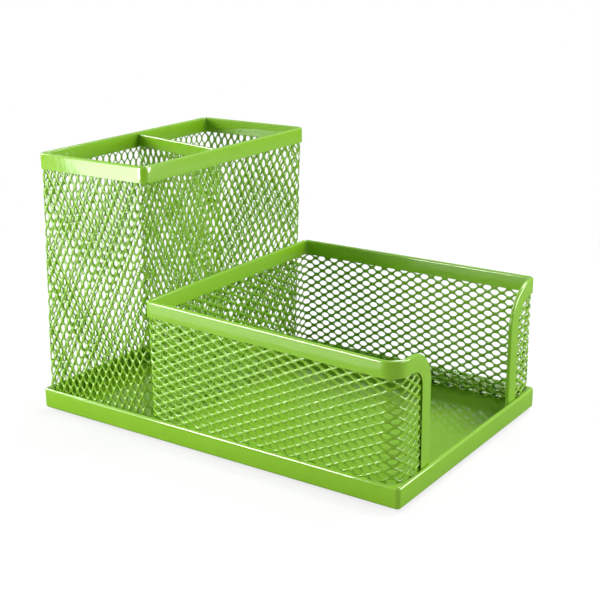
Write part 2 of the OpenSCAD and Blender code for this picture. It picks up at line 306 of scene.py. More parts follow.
def line_object(name, points, closed=False):
    """A poly curve through flat points, as a helper that a tree reads."""
    curve = bpy.data.curves.new(name, "CURVE")
    curve.dimensions = "3D"
    spline = curve.splines.new("POLY")
    spline.points.add(len(points) - 1)
    for place, point in zip(spline.points, points):
        place.co = (*point, 0, 1)
    spline.use_cyclic_u = closed
    return link(name, curve)


def smooth(piece, angle, crease=None):
    """Shades a piece smooth, but for edges sharper than the angle and those at a crease's
    height."""
    data = piece.data
    data.shade_smooth()
    data.set_sharp_from_angle(angle=math.radians(angle))
    if crease is None:
        return
    for edge in data.edges:
        if all(abs(data.vertices[i].co.z - crease) < TINY for i in edge.vertices):
            edge.use_edge_sharp = True


def finish_piece(piece, nodes):
    """Puts a piece on its body, in the place of its CAD nodes."""
    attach(piece, BODY)
    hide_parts(*nodes)


def solid(form, loops):
    """Adds a closed body to a form, with one face on its first and one on its last loop of
    points."""
    rings = [[form.verts.new(point) for point in loop] for loop in loops]
    for low, high in zip(rings, rings[1:]):
        for i in range(len(low)):
            j = (i + 1) % len(low)
            form.faces.new((low[i], low[j], high[j], high[i]))
    form.faces.new(rings[0])
    form.faces.new(rings[-1])


def piece_of(name, form, material):
    """A piece from a form, with its faces turned outward."""
    bmesh.ops.recalc_face_normals(form, faces=form.faces)
    data = bpy.data.meshes.new(name)
    form.to_mesh(data)
    form.free()
    data.materials.append(material)
    return link(name, data)


# ---------------------------------------------------------------- outlines

def quarter(steps, first=0):
    """Angles that divide a quarter turn into steps, from the given one on."""
    return [k / steps * math.pi / 2 for k in range(first, steps + 1)]


def rounded_path(corners, radii):
    """Points of a path through the corners, each turned square with its radius, or left sharp at
    none."""
    points = []
    for i, (corner, radius) in enumerate(zip(corners, radii)):
        here = Vector(corner)
        if radius == 0:
            points.append(here)
            continue
        before = (Vector(corners[i - 1]) - here).normalized()
        after = (Vector(corners[(i + 1) % len(corners)]) - here).normalized()
        middle = here + (before + after) * radius
        for turn in quarter(BEND_STEPS):
            points.append(middle - after * radius * math.cos(turn)
                          - before * radius * math.sin(turn))
    return points


def rounded_box(low, high, inset, radius):
    """A rounded rectangle, drawn in by the inset from a box that is seen from above."""
    x0, x1 = low.x + inset, high.x - inset
    y0, y1 = low.y + inset, high.y - inset
    return rounded_path([(x0, y0), (x1, y0), (x1, y1), (x0, y1)], [radius] * 4)


def stations(points, closed):
    """Lengths along a path at which its points stand."""
    ring = points + points[:1] if closed else points
    places = [0.0]
    for a, b in zip(ring, ring[1:]):
        places.append(places[-1] + (b - a).length)
    return places


def path_length(points, closed):
    return stations(points, closed)[-1]


def dense(points, step, places=()):
    """The same flat outline, also with points at the places along X, and with none further apart
    than the step."""
    result = [points[0]]
    for a, b in zip(points, points[1:]):
        run = (b - a).length
        stops = [0.0, run]
        if b.x - a.x > 2 * abs(b.y - a.y):
            stops += [run * (place - a.x) / (b.x - a.x) for place in places
                      if a.x + TINY < place < b.x - TINY]
        stops.sort()
        for low, high in zip(stops, stops[1:]):
            count = max(1, math.ceil((high - low) / step - TINY))
            result += [a.lerp(b, (low + (high - low) * k / count) / run)
                       for k in range(1, count + 1)]
    return result


def cup_path():
    """Round the cup, along the middle of its rim."""
    return rounded_box(CUP_LO, CUP_HI, RIM_WIDTH / 2, CORNER_RADIUS - RIM_WIDTH / 2)


def tray_path():
    """From the far post's edge along the far, back and near sides to the near post's edge."""
    inset = RIM_WIDTH / 2
    x0, x1 = TRAY_LO.x + inset, NEAR_HI.x - inset
    y0, y1 = TRAY_LO.y + inset, TRAY_HI.y - inset
    corners = [(x1, FAR_LO.y), (x1, y1), (x0, y1), (x0, y0), (x1, y0), (x1, NEAR_HI.y)]
    tight, wide = CORNER_RADIUS - inset, WIDE_CORNER_RADIUS - inset
    return rounded_path(corners, [0, tight, tight, tight, wide, 0])


def fall_stations(length):
    """Lengths along the tray's path between which its near side comes down."""
    near_return = NEAR_HI.y - TRAY_LO.y - WIDE_CORNER_RADIUS
    bend = math.pi / 2 * (WIDE_CORNER_RADIUS - RIM_WIDTH / 2)
    near_side = NEAR_HI.x - TRAY_LO.x - CORNER_RADIUS - WIDE_CORNER_RADIUS
    end = length - near_return - bend
    return end - near_side, end


# ---------------------------------------------------------------- trees

CELL_MERGE = 0.02 * MM
BEND_MERGE = 0.01 * MM


def sheet_tree():
    """Expanded sheet, laid flat: one cell on each point of a staggered lattice, turned by the
    tilt."""
    tree, given = start_tree("Expanded sheet", [
        ("Cell", "Object"), ("Across Pitch", "Float"), ("Up Pitch", "Float"), ("Columns", "Int"),
        ("Rows", "Int"), ("Tilt", "Float"), ("Middle", "Vector"), ("Start", "Float"),
        ("End", "Float"), ("Bottom", "Float"), ("Top", "Float"), ("Material", "Material")])
    across, up = given["Across Pitch"], given["Up Pitch"]
    columns, rows = given["Columns"], given["Rows"]
    width = maths(tree, "MULTIPLY", across, maths(tree, "SUBTRACT", columns, 1))
    height = maths(tree, "MULTIPLY", up, maths(tree, "SUBTRACT", rows, 1))
    lattice = output(tree, "GeometryNodeMeshGrid", [width, height, columns, rows])
    half_cell = scaled(tree, combined(tree, across, up), 0.5)
    between = output(tree, "GeometryNodeTransform", {"Geometry": lattice, "Translation": half_cell})
    both = tree.nodes.new("GeometryNodeJoinGeometry")
    tree.links.new(lattice, both.inputs[0])
    tree.links.new(between, both.inputs[0])
    turn = combined(tree, None, None, given["Tilt"])
    placed = output(tree, "GeometryNodeTransform", {
        "Geometry": both.outputs[0], "Translation": given["Middle"], "Rotation": turn})
    x, y, _ = point_places(tree)
    outside = maths(tree, "LESS_THAN", x, given["Start"])
    for operation, place, limit in (("GREATER_THAN", x, "End"), ("LESS_THAN", y, "Bottom"),
                                    ("GREATER_THAN", y, "Top")):
        beyond = maths(tree, operation, place, given[limit])
        outside = maths(tree, "MAXIMUM", outside, beyond)
    kept = output(tree, "GeometryNodeDeleteGeometry", {"Geometry": placed, "Selection": outside})
    cells = output(tree, "GeometryNodeInstanceOnPoints", {
        "Points": kept, "Instance": object_form(tree, given["Cell"]), "Rotation": turn})
    real = output(tree, "GeometryNodeRealizeInstances", [cells])
    return end_tree(tree, merged(tree, real, CELL_MERGE), given["Material"])


def wrap_tree():
    """Bends what lies flat, with its length along X, its height along Y and its face to Z, round a
    path seen from above, and moves its foot aside by the lean."""
    tree, given = start_tree("Wrap round path", [
        ("Path", "Object"), ("Closed", "Bool"), ("Foot Height", "Float"), ("Top Height", "Float"),
        ("Lean", "Vector"), ("Material", "Material")])
    foot, top = given["Foot Height"], given["Top Height"]
    path = object_form(tree, given["Path"])
    along, height, face = point_places(tree)
    whole = output(tree, "GeometryNodeCurveLength", [path])
    round_again = maths(tree, "FLOORED_MODULO", along, whole)
    place = output(tree, "GeometryNodeSwitch", {
        "Switch": given["Closed"], "False": along, "True": round_again}, input_type="FLOAT")
    sample = put(tree, "GeometryNodeSampleCurve", {"Curves": path, "Length": place}, mode="LENGTH")
    outward = vectors(tree, "CROSS_PRODUCT", sample.outputs["Tangent"], (0, 0, 1))
    stand = scaled(tree, vectors(tree, "NORMALIZE", outward), face)
    level = maths(tree, "ADD", height, foot)
    spot = vectors(tree, "ADD", sample.outputs["Position"], stand)
    spot = vectors(tree, "ADD", spot, combined(tree, None, None, level))
    drop = maths(tree, "DIVIDE", maths(tree, "SUBTRACT", top, level),
                 maths(tree, "SUBTRACT", top, foot))
    spot = vectors(tree, "ADD", spot, scaled(tree, given["Lean"], drop))
    moved = output(tree, "GeometryNodeSetPosition", {
        "Geometry": given["Geometry"], "Position": spot})
    return end_tree(tree, merged(tree, moved, BEND_MERGE), given["Material"])


def sweep_tree():
    """A profile swept along an outline that lies flat."""
    tree, given = start_tree("Swept channel", [
        ("Outline", "Object"), ("Profile", "Object"), ("Capped", "Bool"), ("Material", "Material")])
    outline = object_form(tree, given["Outline"])
    upright = output(tree, "GeometryNodeSetCurveNormal", [outline], mode="Z_UP")
    swept = output(tree, "GeometryNodeCurveToMesh", {
        "Curve": upright, "Profile Curve": object_form(tree, given["Profile"]),
        "Fill Caps": given["Capped"]})
    return end_tree(tree, swept, given["Material"])


# ---------------------------------------------------------------- materials

# Sockets of a Mix node that mixes two colours
FIRST_COLOUR, SECOND_COLOUR, MIXED_COLOUR = 6, 7, 2

# Noise scales of the orange peel's grain and slower swell, the swell's weight, the relief's depth,
# and the same for the rubber's pores
PEEL_SCALE, SWELL_SCALE = 900.0, 260.0
SWELL_WEIGHT = 2.5
PEEL_DEPTH = 0.03 * MM
PORE_SCALE = 1500.0
PORE_DEPTH = 0.05 * MM


def new_material(name):
    """A new material, its node tree and its shader."""
    material = bpy.data.materials.new(name)
    material.use_nodes = True
    tree = material.node_tree
    return material, tree, tree.nodes["Principled BSDF"]


def noise(tree, scale, detail):
    """Noise over the piece's own coordinates."""
    place = tree.nodes.new("ShaderNodeTexCoord").outputs["Object"]
    values = {"Vector": place, "Scale": scale, "Detail": detail}
    return put(tree, "ShaderNodeTexNoise", values).outputs["Fac"]


def wandering(tree, factor, first, second):
    """A colour that wanders between two colours with the factor."""
    values = {"Factor": factor, FIRST_COLOUR: (*first, 1), SECOND_COLOUR: (*second, 1)}
    return put(tree, "ShaderNodeMix", values, data_type="RGBA").outputs[MIXED_COLOUR]


def bump(tree, strength, depth, height):
    return output(tree, "ShaderNodeBump",
                  {"Strength": strength, "Distance": depth, "Height": height})


def paint_material(name, grain, orange_peel, coat, blur, shade):
    """Powder coat under a clear gloss: a green that wanders a little, over a fine orange-peel
    surface. Its green is multiplied by a darkening factor, which below 1 is painted shade: a darker
    copy of the same coat."""
    _, _, paint = settings()
    material, tree, shader = new_material(name)
    # Both greens are darkened by the factor: painted shade, not a different colour of coat
    deep, lime = ([shade * part for part in colour] for colour in (paint.deep, paint.lime))
    relief = maths(tree, "MULTIPLY_ADD", noise(tree, SWELL_SCALE, 1.0), SWELL_WEIGHT,
                   noise(tree, PEEL_SCALE, 2.0))
    surface = bump(tree, orange_peel, PEEL_DEPTH, relief)
    feed(tree, shader, {
        "Base Color": wandering(tree, noise(tree, grain, 3.0), deep, lime),
        "Roughness": 0.40, "Specular IOR Level": 0.15, "Coat Weight": coat,
        "Coat Roughness": blur, "Coat IOR": 1.75, "Normal": surface, "Coat Normal": surface})
    return material


def pad_material():
    """Black rubber with fine pores."""
    _, _, paint = settings()
    material, tree, shader = new_material("Pad rubber")
    pores = noise(tree, PORE_SCALE, 2.0)
    feed(tree, shader, {
        "Base Color": wandering(tree, pores, paint.rubber, [2 * part for part in paint.rubber]),
        "Roughness": 0.8, "Normal": bump(tree, 0.4, PORE_DEPTH, pores)})
    return material


def shared_paint(name, **values):
    """The paint of that name, made when it is first asked for."""
    return bpy.data.materials.get(name) or paint_material(name, **values)


def sheet_paint():
    return shared_paint("Sheet paint", grain=60.0, orange_peel=0.34, coat=0.9, blur=0.08, shade=1.0)


# The mesh's coat is the sheet's coat with its green darkened to 0.89: painted shade, since mesh and
# sheet wear one powder coat
def mesh_paint():
    return shared_paint("Mesh paint", grain=150.0, orange_peel=0.15, coat=0.55, blur=0.18,
                        shade=0.89)


# ---------------------------------------------------------------- expanded metal

# A quarter of a hole's edge and of a cell's edge, as shares of their half length and half width
HOLE_QUARTER = [(1.0, 0.0), (0.80, 0.46), (0.40, 0.90), (0.0, 1.0)]
CELL_QUARTER = [(1.0, 0.0), (2 / 3, 1 / 3), (1 / 3, 2 / 3), (0.0, 1.0)]

# How fast the louvre grows from the middle of a hole, where 1 makes it full only at the hole's
# edge, and the hole's edge as a share of half the thickness
LOUVRE_SLOPE = 1.6
LIP_SHARE = 0.84

# Where the lattice's middle stands off the sheet's, in cells
MIDDLE_ACROSS, MIDDLE_UP = 0.31, 0.23

# Angles of the cuts round a sheet's front corner, and how near a cut counts as on it
TURN_ANGLES = (15, 30, 45, 60, 75)
ON_CUT = 1e-7


def whole_edge(quarter_edge, half_long, half_short):
    """A closed edge, mirrored from its quarter."""
    upper = quarter_edge + [(-x, y) for x, y in reversed(quarter_edge[:-1])]
    around = upper + [(x, -y) for x, y in reversed(upper[1:-1])]
    return [(x * half_long, y * half_short) for x, y in around]


def cell_mesh(upright, long_pitch, short_pitch, hole_length, hole_width, thickness, louvre):
    """One cell of expanded metal: the frame round one hole, out to the middle of its strands. A
    strand leans like a louvre: one long side of a hole is set forward and the other one back."""
    half_long, half_short, half_thick = long_pitch / 2, short_pitch / 2, thickness / 2
    hole_long, hole_short = half_long * hole_length, half_short * hole_width
    hole = whole_edge(HOLE_QUARTER, hole_long, hole_short)
    edge = whole_edge(CELL_QUARTER, half_long, half_short)
    form = bmesh.new()
    rings = []
    for side in (1, -1):
        rings.append([form.verts.new((x, y, side * half_thick)) for x, y in edge])
        rings.append([])
        for x, y in hole:
            tip = louvre * max(-1, min(1, LOUVRE_SLOPE * y / hole_short))
            rings[-1].append(form.verts.new((x, y, tip + side * LIP_SHARE * half_thick)))
    front, front_lip, back, back_lip = rings
    for i in range(len(hole)):
        j = (i + 1) % len(hole)
        for low, high in ((front, front_lip), (front_lip, back_lip), (back_lip, back)):
            form.faces.new((low[i], low[j], high[j], high[i]))
    if upright:
        bmesh.ops.rotate(form, verts=form.verts, matrix=Matrix.Rotation(math.pi / 2, 3, "Z"))
    data = bpy.data.meshes.new("Cell")
    form.to_mesh(data)
    form.free()
    return data


def flat_sheet(name, length, height, upright, tilt, across, up, closed=False):
    """A flat piece of expanded sheet, from 0 to the length and from 0 to the height, with the cup's
    cells when they stand upright and the tray's when they lie."""
    sizes, _, _ = settings()
    if upright:
        strands = (sizes.cup_hole_length, sizes.cup_hole_width, sizes.cup_thickness,
                   sizes.cup_louvre)
    else:
        strands = (sizes.tray_hole_length, sizes.tray_hole_width, sizes.tray_thickness,
                   sizes.tray_louvre)
    cell = link("Cell", cell_mesh(upright, max(across, up), min(across, up), *strands))
    piece = link(name, bpy.data.meshes.new(name))
    reach = length + 2 * height
    spare = 0 if closed else across
    middle = (length / 2 + MIDDLE_ACROSS * across, height / 2 + MIDDLE_UP * up, 0.0)
    run_tree(piece, sheet_tree(), {
        "Cell": cell, "Across Pitch": across, "Up Pitch": up,
        "Columns": 2 * math.ceil(reach / across / 2) + 1,
        "Rows": 2 * math.ceil(reach / up / 2) + 1,
        "Tilt": tilt, "Middle": middle, "Start": -spare, "End": length + spare,
        "Bottom": -up, "Top": height + up, "Material": mesh_paint()})
    discard(cell)
    return piece


def cut_sheet(piece, cuts):
    """Cuts a flat sheet along lines, each a point and the direction that is cut away, and closes
    the strands' ends."""
    form = bmesh.new()
    form.from_mesh(piece.data)
    for point, away in cuts:
        everything = form.verts[:] + form.edges[:] + form.faces[:]
        cut = bmesh.ops.bisect_plane(form, geom=everything, dist=ON_CUT, plane_co=(*point, 0),
                                     plane_no=(*away, 0), clear_outer=True)
        ends = [part for part in cut["geom_cut"]
                if isinstance(part, bmesh.types.BMEdge) and part.is_boundary]
        bmesh.ops.holes_fill(form, edges=ends, sides=0)
    form.to_mesh(piece.data)
    form.free()


def foot_and_top_cuts(rise):
    """Level cuts at a sheet's top and at its foot."""
    return [((0, rise), (0, 1)), ((0, 0), (0, -1))]


def turn_cuts(end, side, radius, height):
    """Cuts that follow a channel's turn from the top down into a post. The side is 1 at the path's
    last end and -1 at its first."""
    inner = radius - EDGE_GAP
    middle_x, middle_y = end - side * radius, height - inner
    cuts = []
    for angle in TURN_ANGLES:
        x = side * inner * math.cos(math.radians(angle))
        y = inner * math.sin(math.radians(angle))
        cuts.append(((middle_x + x, middle_y + y), (x, y)))
    return cuts


def close_ends(piece):
    """Closes the strands' ends that are still open."""
    form = bmesh.new()
    form.from_mesh(piece.data)
    bmesh.ops.holes_fill(form, edges=[edge for edge in form.edges if edge.is_boundary], sides=0)
    form.to_mesh(piece.data)
    form.free()


def wrap(piece, path, closed, foot, top, material, lean=(0, 0, 0)):
    """Bends a flat piece round a path. What stands at the top stays, and the foot leans aside."""
    helper = line_object("Path", path, closed)
    run_tree(piece, wrap_tree(), {
        "Path": helper, "Closed": closed, "Foot Height": foot, "Top Height": top, "Lean": lean,
        "Material": material})
    discard(helper)


# ---------------------------------------------------------------- channels

LIP_BEVEL = 0.12 * MM
FOLD_CLEARANCE = 0.2 * MM
FOLD_STEPS = 4


def channel_profile(width, depth, wall, radius):
    """Section of a channel: its closed edge at X = 0, its lips at the depth and its width along
    Y."""
    half, lip = width / 2, depth - LIP_BEVEL
    side = [(lip, half)]
    side += [(radius - radius * math.sin(turn), half - radius + radius * math.cos(turn))
             for turn in quarter(FOLD_STEPS)]
    inside = [(wall + FOLD_CLEARANCE, half - wall), (lip, half - wall), (depth, half - wall / 2)]
    loop = side + [(x, -y) for x, y in reversed(side)]
    return loop + [(x, -y) for x, y in reversed(inside)] + inside


def rim_profile():
    """Section of the channel on the cup and on the tray."""
    _, trim, _ = settings()
    return channel_profile(RIM_WIDTH, RIM_HEIGHT, trim.wall, trim.edge_radius)


def straight(length):
    """A straight outline along X."""
    return [Vector((0, 0)), Vector((length, 0))]


def channel(name, outline, profile, capped, path, closed, foot, nodes):
    """A channel swept along a flat outline and then bent round a path, in the place of its CAD
    nodes."""
    piece = link(name, bpy.data.meshes.new(name))
    line, section = line_object("Outline", outline), line_object("Profile", profile, True)
    run_tree(piece, sweep_tree(), {
        "Outline": line, "Profile": section, "Capped": capped, "Material": sheet_paint()})
    discard(line, section)
    wrap(piece, path, closed, foot, foot + 1, sheet_paint())
    smooth(piece, 40)
    finish_piece(piece, nodes)


# ---------------------------------------------------------------- operators

class ORGANIZER_OT_cup_mesh(bpy.types.Operator):
    """Wraps the pen cup's expanded sheet, whose foot stands a little aside of its rim"""
    bl_idname = "organizer.cup_mesh"
    bl_label = "Cup mesh"

    def execute(self, context):
        sizes, _, _ = settings()
        path = cup_path()
        length = path_length(path, True)
        foot, top = FLOOR_Z, CUP_HI.z - EDGE_GAP
        rise = top - foot
        tilt = math.asin(sizes.cup_turns * sizes.long_pitch / 2 / length)
        girth = length * math.cos(tilt)
        across = girth / round(girth / sizes.short_pitch)
        piece = flat_sheet("cup_mesh", length, rise, True, tilt, across, sizes.long_pitch,
                           closed=True)
        cut_sheet(piece, foot_and_top_cuts(rise))
        wrap(piece, path, True, foot, top, mesh_paint(), (-LEAN, -LEAN, 0))
        close_ends(piece)
        finish_piece(piece, ["cup_wall_near", "cup_wall_far", "cup_wall_outer",
                                           "cup_wall_inner", "cup_corner_bends"])
        return {"FINISHED"}


class ORGANIZER_OT_tray_mesh(bpy.types.Operator):
    """Wraps the memo tray's expanded sheet, with its two front returns"""
    bl_idname = "organizer.tray_mesh"
    bl_label = "Tray mesh"

    def execute(self, context):
        sizes, _, _ = settings()
        path = tray_path()
        length = path_length(path, False)
        foot, top = FLOOR_Z, TRAY_HI.z - EDGE_GAP
        rise = top - foot
        piece = flat_sheet("tray_mesh", length, rise, False, sizes.tray_tilt, sizes.long_pitch,
                           sizes.short_pitch)
        fall_start, fall_end = fall_stations(length)
        cuts = foot_and_top_cuts(rise)
        cuts += [((EDGE_GAP, 0), (-1, 0)), ((length - EDGE_GAP, 0), (1, 0)),
                 ((fall_start, rise), (NEAR_FALL, fall_end - fall_start))]
        cuts += turn_cuts(0, -1, FAR_TURN_RADIUS, rise)
        cuts += turn_cuts(length, 1, NEAR_TURN_RADIUS, rise - NEAR_FALL)
        cut_sheet(piece, cuts)
        wrap(piece, path, False, foot, top, mesh_paint())
        finish_piece(piece, ["tray_wall_near", "tray_wall_far", "tray_wall_back",
                                           "tray_return_near", "tray_return_far",
                                           "tray_corner_bends"])
        return {"FINISHED"}


class ORGANIZER_OT_cup_rim(bpy.types.Operator):
    """Folds the channel round the pen cup's top"""
    bl_idname = "organizer.cup_rim"
    bl_label = "Cup rim"

    def execute(self, context):
        _, trim, _ = settings()
        path = cup_path()
        places = stations(path, True)
        outline = dense(straight(places[-1]), trim.step, places)
        channel("cup_trim", outline, rim_profile(), False, path, True, CUP_HI.z, ["cup_rim"])
        return {"FINISHED"}


class ORGANIZER_OT_tray_trim(bpy.types.Operator):
    """Folds the channel along the memo tray's top and down its two front posts"""
    bl_idname = "organizer.tray_trim"
    bl_label = "Tray trim"

    def execute(self, context):
        _, trim, _ = settings()
        path = tray_path()
        places = stations(path, False)
        length = places[-1]
        rise = TRAY_HI.z - FLOOR_Z
        low = rise - NEAR_FALL
        fall_start, fall_end = fall_stations(length)
        corners = [(0, 0), (0, rise), (fall_start, rise), (fall_end, low), (length, low),
                   (length, 0)]
        outline = rounded_path(corners, [0, FAR_TURN_RADIUS, 0, 0, NEAR_TURN_RADIUS, 0])
        outline = dense(outline, trim.step, places)
        channel("tray_trim", outline, rim_profile(), True, path, False, FLOOR_Z,
                ["tray_rim", "near_post", "far_post"])
        return {"FINISHED"}


class ORGANIZER_OT_divider(bpy.types.Operator):
    """Stands the divider across the cup, with its cap band"""
    bl_idname = "organizer.divider"
    bl_label = "Divider"

    def execute(self, context):
        sizes, trim, _ = settings()
        angle = math.atan2(DIVIDER_HI.y - DIVIDER_LO.y - SHEET, DIVIDER_HI.x - DIVIDER_LO.x)
        inward = Vector((math.sin(angle), -math.cos(angle))) * SHEET / 2
        start = Vector((DIVIDER_LO.x, DIVIDER_HI.y)) + inward
        end = Vector((DIVIDER_HI.x, DIVIDER_LO.y)) - inward
        length = (end - start).length
        foot, top = FLOOR_Z, CAP_HI.z - EDGE_GAP
        rise, shift = top - foot, LEAN / math.cos(angle)
        piece = flat_sheet("divider_sheet", length, rise, True, sizes.divider_tilt,
                           sizes.short_pitch, sizes.long_pitch)
        cut_sheet(piece, foot_and_top_cuts(rise) + [((0, 0), (-rise, shift)),
                                                    ((length, rise), (rise, -shift))])
        wrap(piece, [start, end], False, foot, top, mesh_paint())
        finish_piece(piece, ["divider_mesh"])

        width = trim.cap_width
        profile = channel_profile(width, CAP_HI.z - CAP_LO.z, trim.cap_wall, trim.cap_radius)
        start = Vector((CAP_LO.x, CAP_HI.y - width / 2))
        end = Vector((CAP_HI.x, CAP_LO.y + width / 2))
        outline = dense(straight((end - start).length), trim.step)
        channel("divider_band", outline, profile, True, [start, end], False, CAP_HI.z,
                ["divider_cap"])
        return {"FINISHED"}


# The pan: the width of its hemmed rim, the radius of its corners outside and that of the tightest
# one inside, and the inset up to which its section runs before one flat face closes it
HEM = 1.2 * MM
PAN_CORNER, TIGHTEST_CORNER = 1.6 * MM, 0.35 * MM
SECTION_REACH = 8 * MM

# Its section: the radius of the fold under the rim and of the bend at the floor, the crown's width
# and height outside and its radius inside, and the heights at which the hem's slanting lip ends
FOLD_RADIUS, FLOOR_BEND = 1.0 * MM, 0.8 * MM
CROWN_WIDTH, CROWN_HEIGHT, CROWN_INNER = 0.85 * MM, 1.1 * MM, 0.35 * MM
HEM_LOW, HEM_HIGH = 2.0 * MM, 2.2 * MM

# Its corner webs: how far they lie under the rim's top and run into the hem, how far they end from
# the bent mesh at its tight bends and at the wide one, and how far the front ones run on
WEB_DROP, WEB_OVERLAP = 0.15 * MM, 0.2 * MM
WEB_GAP, WIDE_WEB_GAP = 0.15 * MM, 0.45 * MM
WEB_LEG_X, WEB_LEG_Y = 5.5 * MM, 11 * MM
WEB_STEPS = 8


def pan_section():
    """Half the pan's section, as insets from its outline and heights: from its underside out,
    over the crowned rim, under the hem's lip, and down to its floor."""
    bottom, top = PAN_LO.z, PAN_HI.z
    wall = HEM - (FLOOR_Z - bottom)
    section = [(SECTION_REACH, bottom)]
    section += [(FOLD_RADIUS - FOLD_RADIUS * math.sin(turn),
                 bottom + FOLD_RADIUS - FOLD_RADIUS * math.cos(turn)) for turn in quarter(5)]
    section += [(CROWN_WIDTH - CROWN_WIDTH * math.cos(turn),
                 top - CROWN_HEIGHT + CROWN_HEIGHT * math.sin(turn)) for turn in quarter(6)]
    section += [(HEM - CROWN_INNER + CROWN_INNER * math.sin(turn),
                 top - CROWN_INNER + CROWN_INNER * math.cos(turn)) for turn in quarter(4, first=1)]
    section += [(HEM, bottom + HEM_HIGH), (wall, bottom + HEM_LOW)]
    section += [(wall + FLOOR_BEND * (1 - math.cos(turn)),
                 FLOOR_Z + FLOOR_BEND * (1 - math.sin(turn))) for turn in quarter(4)]
    return section + [(SECTION_REACH, FLOOR_Z)]


def web_outline(sx, sy, top):
    """Outline of the level web in one corner of the pan, as insets from its sides, between the rim
    and the bent corner of the mesh. Those at the front run on along the tray's side and its
    returns."""
    lean = LEAN * (1 - (top - FLOOR_Z) / (CUP_HI.z - FLOOR_Z))
    wide = sx > 0 > sy
    radius = WIDE_CORNER_RADIUS if wide else CORNER_RADIUS
    clear = radius - RIM_WIDTH / 2 + SHEET / 2 + (WIDE_WEB_GAP if wide else WEB_GAP)
    if sx < 0:
        in_x = CUP_LO.x - PAN_LO.x - lean + radius
        in_y = CUP_LO.y - PAN_LO.y + sy * lean + radius
        leg_x, leg_y = in_x, in_y
    else:
        in_x, in_y = PAN_HI.x - NEAR_HI.x + radius, PAN_HI.y - TRAY_HI.y + radius
        leg_x, leg_y = WEB_LEG_X, WEB_LEG_Y
    start = HEM - WEB_OVERLAP
    outline = [(leg_x, start), (start, start), (start, leg_y)]
    if leg_y > in_y:
        outline.append((in_x - clear, leg_y))
    outline += [(in_x - clear * math.cos(turn), in_y - clear * math.sin(turn))
                for turn in quarter(WEB_STEPS)]
    if leg_x > in_x:
        outline.append((leg_x, in_y - clear))
    return outline


class ORGANIZER_OT_pan(bpy.types.Operator):
    """Presses the base pan, with its hemmed rim and its corner webs"""
    bl_idname = "organizer.pan"
    bl_label = "Base pan"

    def execute(self, context):
        form = bmesh.new()
        rings = []
        for inset, height in pan_section():
            ring = rounded_box(PAN_LO, PAN_HI, inset, max(PAN_CORNER - inset, TIGHTEST_CORNER))
            rings.append([(*point, height) for point in ring])
        solid(form, rings)
        top = PAN_HI.z - WEB_DROP
        levels = (top - (FLOOR_Z - PAN_LO.z), top)
        for sx in (-1, 1):
            for sy in (-1, 1):
                outline = [(sx * (PAN_HI.x - x), sy * (PAN_HI.y - y))
                           for x, y in web_outline(sx, sy, top)]
                solid(form, [[(*point, level) for point in outline] for level in levels])
        piece = piece_of("pan", form, sheet_paint())
        smooth(piece, 35, FLOOR_Z + FLOOR_BEND)
        finish_piece(piece, ["base_pan"])
        return {"FINISHED"}


PAD_RADIUS = 4.5 * MM
PAD_EDGE = 0.3 * MM
PAD_BEVEL = 0.3 * PAD_EDGE
PAD_STEPS = 48


class ORGANIZER_OT_pads(bpy.types.Operator):
    """Sticks the four foot pads under the pan"""
    bl_idname = "organizer.pads"
    bl_label = "Foot pads"

    def execute(self, context):
        middle_x, middle_y = PAD_HI.x - PAD_RADIUS, PAD_HI.y - PAD_RADIUS
        section = [(PAD_RADIUS - PAD_EDGE, PAD_LO.z),
                   (PAD_RADIUS - PAD_BEVEL, PAD_LO.z + PAD_BEVEL),
                   (PAD_RADIUS, PAD_LO.z + PAD_EDGE), (PAD_RADIUS, PAD_HI.z)]
        turns = [2 * math.pi * k / PAD_STEPS for k in range(PAD_STEPS)]
        form = bmesh.new()
        for sx in (-1, 1):
            for sy in (-1, 1):
                solid(form, [[(sx * middle_x + distance * math.cos(turn),
                               sy * middle_y + distance * math.sin(turn), height)
                              for turn in turns] for distance, height in section])
        piece = piece_of("pads", form, pad_material())
        smooth(piece, 50)
        finish_piece(piece, ["foot_pads"])
        return {"FINISHED"}


# ---------------------------------------------------------------- stage

CAMERA_PLACE = (0.2470, -0.3504, 0.1795)
CAMERA_AZIMUTH = math.radians(34.52)
CAMERA_ELEVATION = math.radians(17.54)
CAMERA_ROLL = math.radians(-0.56)
CAMERA_LENS = 72.23
CAMERA_SENSOR = 36.0

# The floor: half its side, its grey for the camera, for gloss and for all other light, the
# distances between which the camera sees it fade to plain white, and how white it already is there
FLOOR_REACH = 6.0
FLOOR_SEEN, FLOOR_GLOSS, FLOOR_BOUNCE = 0.86, 0.17, 0.48
FADE_NEAR, FADE_FAR, FADE_SHARE = 0.10, 0.34, 0.78

# The room's strength for the camera, for gloss and for all other light
ROOM_SEEN, ROOM_GLOSS, ROOM_LIGHT = 1.0, 0.46, 0.04

# Each softbox: its place, what it faces, its width and its height
SOFTBOXES = {
    "high": ((0.12, 0.45, 0.92), (0, 0, 0.02), 0.60, 0.40),
    "left": ((-0.80, -0.30, 0.46), (0, 0, 0.05), 0.22, 0.40),
    "low": ((-0.325, -0.371, 0.047), (-0.03, -0.03, 0.06), 0.08, 0.09),
    "front": ((-0.28, -0.52, 0.10), (0, 0, 0.04), 0.20, 0.18),
    "table": ((-0.17, -0.32, 0.005), (-0.17, -0.32, 1.0), 0.33, 0.30),
    "side": ((0.85, 0.10, 0.30), (0, 0, 0.05), 0.40, 0.40),
    "rear": ((0.60, 0.40, 0.12), (0, 0, 0.05), 0.30, 0.20),
}


def grey(level):
    return level, level, level, 1


def show_to_rays(tree, camera, gloss, other):
    """A shader that the camera, the gloss and all other light see as three different things."""
    rays = tree.nodes.new("ShaderNodeLightPath").outputs
    either = maths(tree, "MAXIMUM", rays["Is Camera Ray"], rays["Is Transmission Ray"])
    unseen = output(tree, "ShaderNodeMixShader", [rays["Is Glossy Ray"], other, gloss])
    return output(tree, "ShaderNodeMixShader", [either, unseen, camera])


